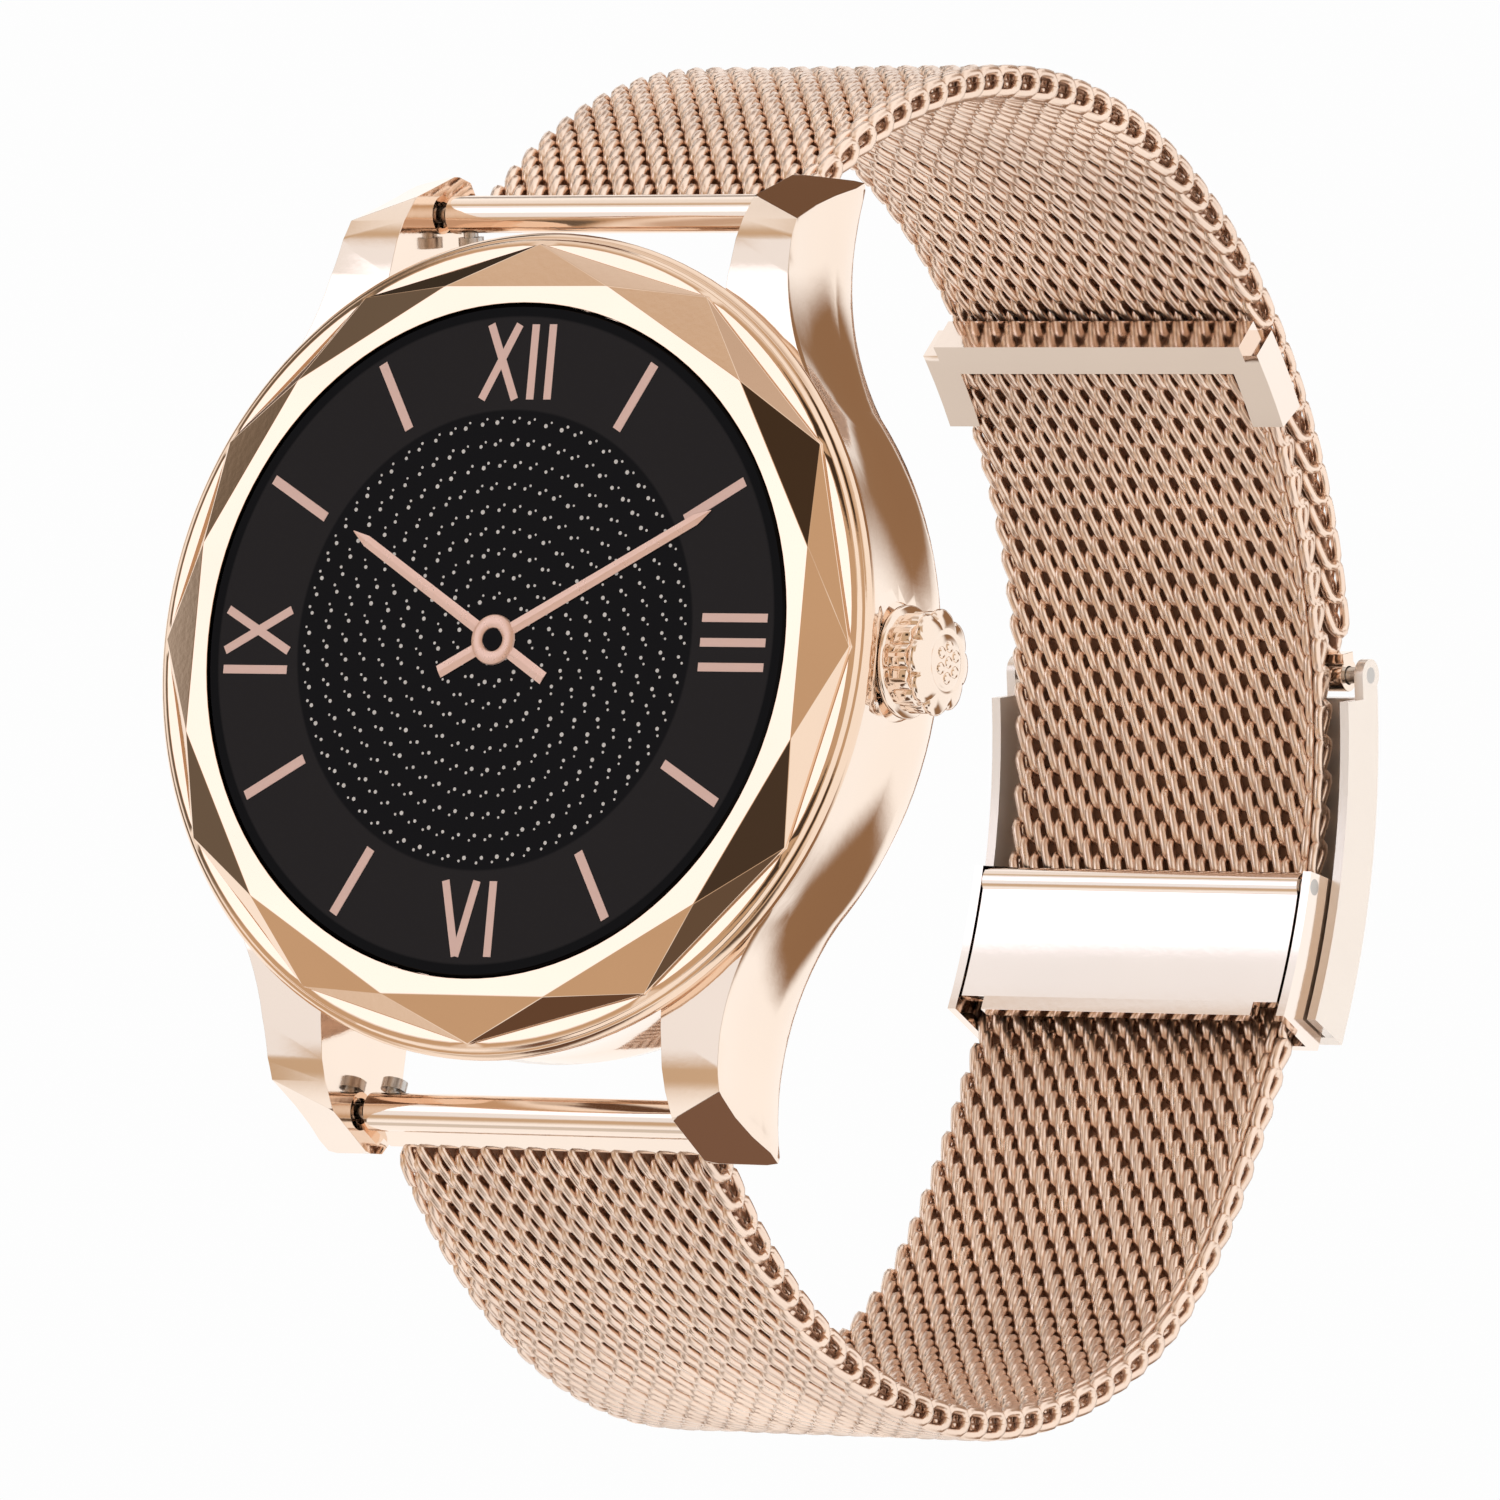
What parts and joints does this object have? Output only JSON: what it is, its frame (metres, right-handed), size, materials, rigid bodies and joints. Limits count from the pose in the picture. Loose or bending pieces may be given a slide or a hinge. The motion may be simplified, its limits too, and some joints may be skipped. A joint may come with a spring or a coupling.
{
  "type": "smartwatch",
  "caption": "Round smartwatch with a faceted bezel, a push and turn crown, and a closed woven-mesh strap with a hinged slide clasp.",
  "frame": {"origin": "centre of the case back's outer face, where the watch lies on the wrist", "axes": "+Z towards 12 o'clock, +X towards 3 o'clock and the crown, +Y out of the case back into the wrist space, so the dial faces -Y"},
  "size_m": [0.0403, 0.0647, 0.065],
  "materials": {
    "case_polished": "polished rose gold plated steel",
    "bezel_facets": "mirror polished rose gold facets",
    "cover_glass": "black-backed mineral glass",
    "gasket_rubber": "matt black silicone",
    "display_black": "glossy black panel",
    "flex_film": "amber polyimide film",
    "frame_plastic": "moulded black plastic",
    "board_green": "green solder mask",
    "chip_black": "moulded epoxy",
    "battery_foil": "satin pouch foil",
    "motor_steel": "drawn steel can",
    "switch_dark": "moulded switch body",
    "tube_brass": "turned brass",
    "encoder_white": "white moulded drum",
    "crown_polished": "polished rose gold plated steel",
    "back_steel": "satin rose gold plated steel",
    "screw_steel": "machined steel",
    "sensor_glass": "dark optical window",
    "sensor_led": "clear green emitter",
    "contact_gold": "gold plated contact",
    "magnet_nickel": "nickel plated magnet",
    "clasp_polished": "polished rose gold plated steel",
    "pin_steel": "ground steel",
    "mesh_rose": "woven rose gold plated wire"
  },
  "bodies": {
    "watch_case": {"case_middle": "case_polished", "bezel": "bezel_facets", "cover_glass": "cover_glass", "glass_gasket": "gasket_rubber", "display_panel": "display_black", "display_flex": "flex_film", "inner_frame": "frame_plastic", "main_board": "board_green", "board_chips": "chip_black", "battery": "battery_foil", "vibration_motor": "motor_steel", "crown_switch": "switch_dark", "crown_tube": "tube_brass", "back_cover": "back_steel", "back_gasket": "gasket_rubber", "back_screws": "screw_steel", "sensor_window": "sensor_glass", "sensor_board": "board_green", "sensor_leds": "sensor_led", "charging_contacts": "contact_gold", "charging_magnets": "magnet_nickel"},
    "encoder": {"encoder_drum": "encoder_white"},
    "crown": {"crown_stem": "pin_steel", "crown_knob": "crown_polished", "crown_cap": "crown_polished", "crown_seals": "gasket_rubber"},
    "upper_1": {"end_tube_upper": "clasp_polished", "spring_bar_upper": "pin_steel", "mesh_upper_1": "mesh_rose"},
    "upper_2": {"mesh_upper_2": "mesh_rose"},
    "upper_3": {"mesh_upper_3": "mesh_rose"},
    "upper_4": {"mesh_upper_4": "mesh_rose", "upper_end_bar": "clasp_polished"},
    "upper_release": {"release_pin_upper": "pin_steel"},
    "lid": {"clasp_lid": "clasp_polished", "lid_pin": "pin_steel"},
    "lower_1": {"end_tube_lower": "clasp_polished", "spring_bar_lower": "pin_steel", "mesh_lower_1": "mesh_rose"},
    "lower_2": {"mesh_lower_2": "mesh_rose"},
    "lower_3": {"mesh_lower_3": "mesh_rose"},
    "lower_4": {"mesh_lower_4": "mesh_rose", "mesh_tail": "mesh_rose", "tip_cap": "clasp_polished", "clasp_base": "clasp_polished", "lock_pin": "pin_steel"},
    "lower_release": {"release_pin_lower": "pin_steel"},
    "lock": {"lock_plate": "clasp_polished"}
  },
  "joints": [
    {"name": "crown_turn", "type": "hinge", "parent": "watch_case", "child": "encoder", "pos_m": [0, -0.0052, 0], "axis": [1, 0, 0], "continuous": true},
    {"name": "crown_press", "type": "slide", "parent": "encoder", "child": "crown", "axis": [-1, 0, 0], "range_m": [0, 0.0004], "stiffness_N_per_m": 1500, "springref_m": -0.0003},
    {"name": "strap_open", "type": "hinge", "parent": "watch_case", "child": "upper_1", "pos_m": [0, -0.0036, 0.0211], "axis": [1, 0, 0], "range_deg": [0, 40]},
    {"name": "upper_flex_2", "type": "hinge", "parent": "upper_1", "child": "upper_2", "pos_m": [0, 0.0134, 0.03032], "axis": [1, 0, 0], "range_deg": [0, 22.05]},
    {"name": "upper_flex_3", "type": "hinge", "parent": "upper_2", "child": "upper_3", "pos_m": [0, 0.02981, 0.03032], "axis": [1, 0, 0], "range_deg": [0, 22.05]},
    {"name": "upper_flex_4", "type": "hinge", "parent": "upper_3", "child": "upper_4", "pos_m": [0, 0.04401, 0.02211], "axis": [1, 0, 0], "range_deg": [0, 22.05]},
    {"name": "lower_open", "type": "hinge", "parent": "watch_case", "child": "lower_1", "pos_m": [0, -0.0036, -0.0211], "axis": [1, 0, 0], "range_deg": [-15.05, 0]},
    {"name": "lower_flex_2", "type": "hinge", "parent": "lower_1", "child": "lower_2", "pos_m": [0, 0.0161, -0.03152], "axis": [1, 0, 0], "range_deg": [-8.05, 0]},
    {"name": "lower_flex_3", "type": "hinge", "parent": "lower_2", "child": "lower_3", "pos_m": [0, 0.035, -0.02903], "axis": [1, 0, 0], "range_deg": [-8.05, 0]},
    {"name": "lower_flex_4", "type": "hinge", "parent": "lower_3", "child": "lower_4", "pos_m": [0, 0.04756, -0.01529], "axis": [1, 0, 0], "range_deg": [-8.05, 0]},
    {"name": "lid_open", "type": "hinge", "parent": "upper_4", "child": "lid", "pos_m": [0, 0.05216, 0.00812], "axis": [1, 0, 0], "range_deg": [0, 100]},
    {"name": "lock_open", "type": "hinge", "parent": "lower_4", "child": "lock", "pos_m": [0, 0.0495, -0.00269], "axis": [-1, 0, 0], "range_deg": [0, 70]},
    {"name": "upper_release_pull", "type": "slide", "parent": "upper_1", "child": "upper_release", "axis": [1, 0, 0], "range_m": [0, 0.0013], "stiffness_N_per_m": 600, "springref_m": -0.0004},
    {"name": "lower_release_pull", "type": "slide", "parent": "lower_1", "child": "lower_release", "axis": [1, 0, 0], "range_m": [0, 0.0013], "stiffness_N_per_m": 600, "springref_m": -0.0004}
  ],
  "couplings": [
    {"joint": "upper_flex_2", "follows": "strap_open", "ratio": 0.55},
    {"joint": "upper_flex_3", "follows": "strap_open", "ratio": 0.55},
    {"joint": "upper_flex_4", "follows": "strap_open", "ratio": 0.55},
    {"joint": "lower_open", "follows": "strap_open", "ratio": -0.375},
    {"joint": "lower_flex_2", "follows": "strap_open", "ratio": -0.2},
    {"joint": "lower_flex_3", "follows": "strap_open", "ratio": -0.2},
    {"joint": "lower_flex_4", "follows": "strap_open", "ratio": -0.2}
  ]
}
